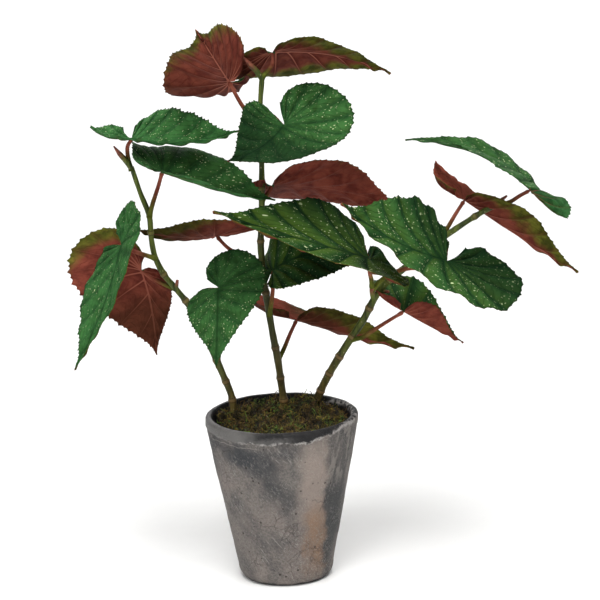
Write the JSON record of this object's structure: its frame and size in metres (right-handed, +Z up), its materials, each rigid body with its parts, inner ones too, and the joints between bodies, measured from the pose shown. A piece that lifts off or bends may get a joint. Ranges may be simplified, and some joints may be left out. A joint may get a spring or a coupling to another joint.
{
  "type": "potted begonia",
  "caption": "Cane begonia in a tapered clay pot: upright stems rise from moss and carry toothed, spotted wing-shaped leaves on long stalks.",
  "frame": {"origin": "middle of the pot's underside", "axes": "+Z up through the pot, -Y to the front of the plant, +X to its right"},
  "size_m": [0.511, 0.2697, 0.5708],
  "materials": {
    "pot": "matt clay with a worn dark glaze and scratches",
    "soil": "dark loose potting filling",
    "moss": "curly brown-green moss",
    "cane": "satin olive-green stem, browner at the foot",
    "leaf": "satin green with pale spots above, red-brown below"
  },
  "bodies": {
    "root": {"pot": "pot", "soil": "soil", "moss": "moss", "cane_left": "cane", "cane_middle": "cane", "cane_right": "cane", "leaf_top_left": "leaf", "leaf_top_right": "leaf", "leaf_upper_front": "leaf", "leaf_left_crown": "leaf", "leaf_left_upper": "leaf", "leaf_back_red": "leaf", "leaf_left_back": "leaf", "leaf_left_hanging": "leaf", "leaf_centre_large": "leaf", "leaf_centre_lower": "leaf", "leaf_right_large": "leaf", "leaf_right_folded": "leaf", "leaf_low_back": "leaf", "leaf_front_heart": "leaf", "leaf_left_folded": "leaf", "leaf_right_crown": "leaf", "leaf_right_red": "leaf"}
  },
  "joints": []
}
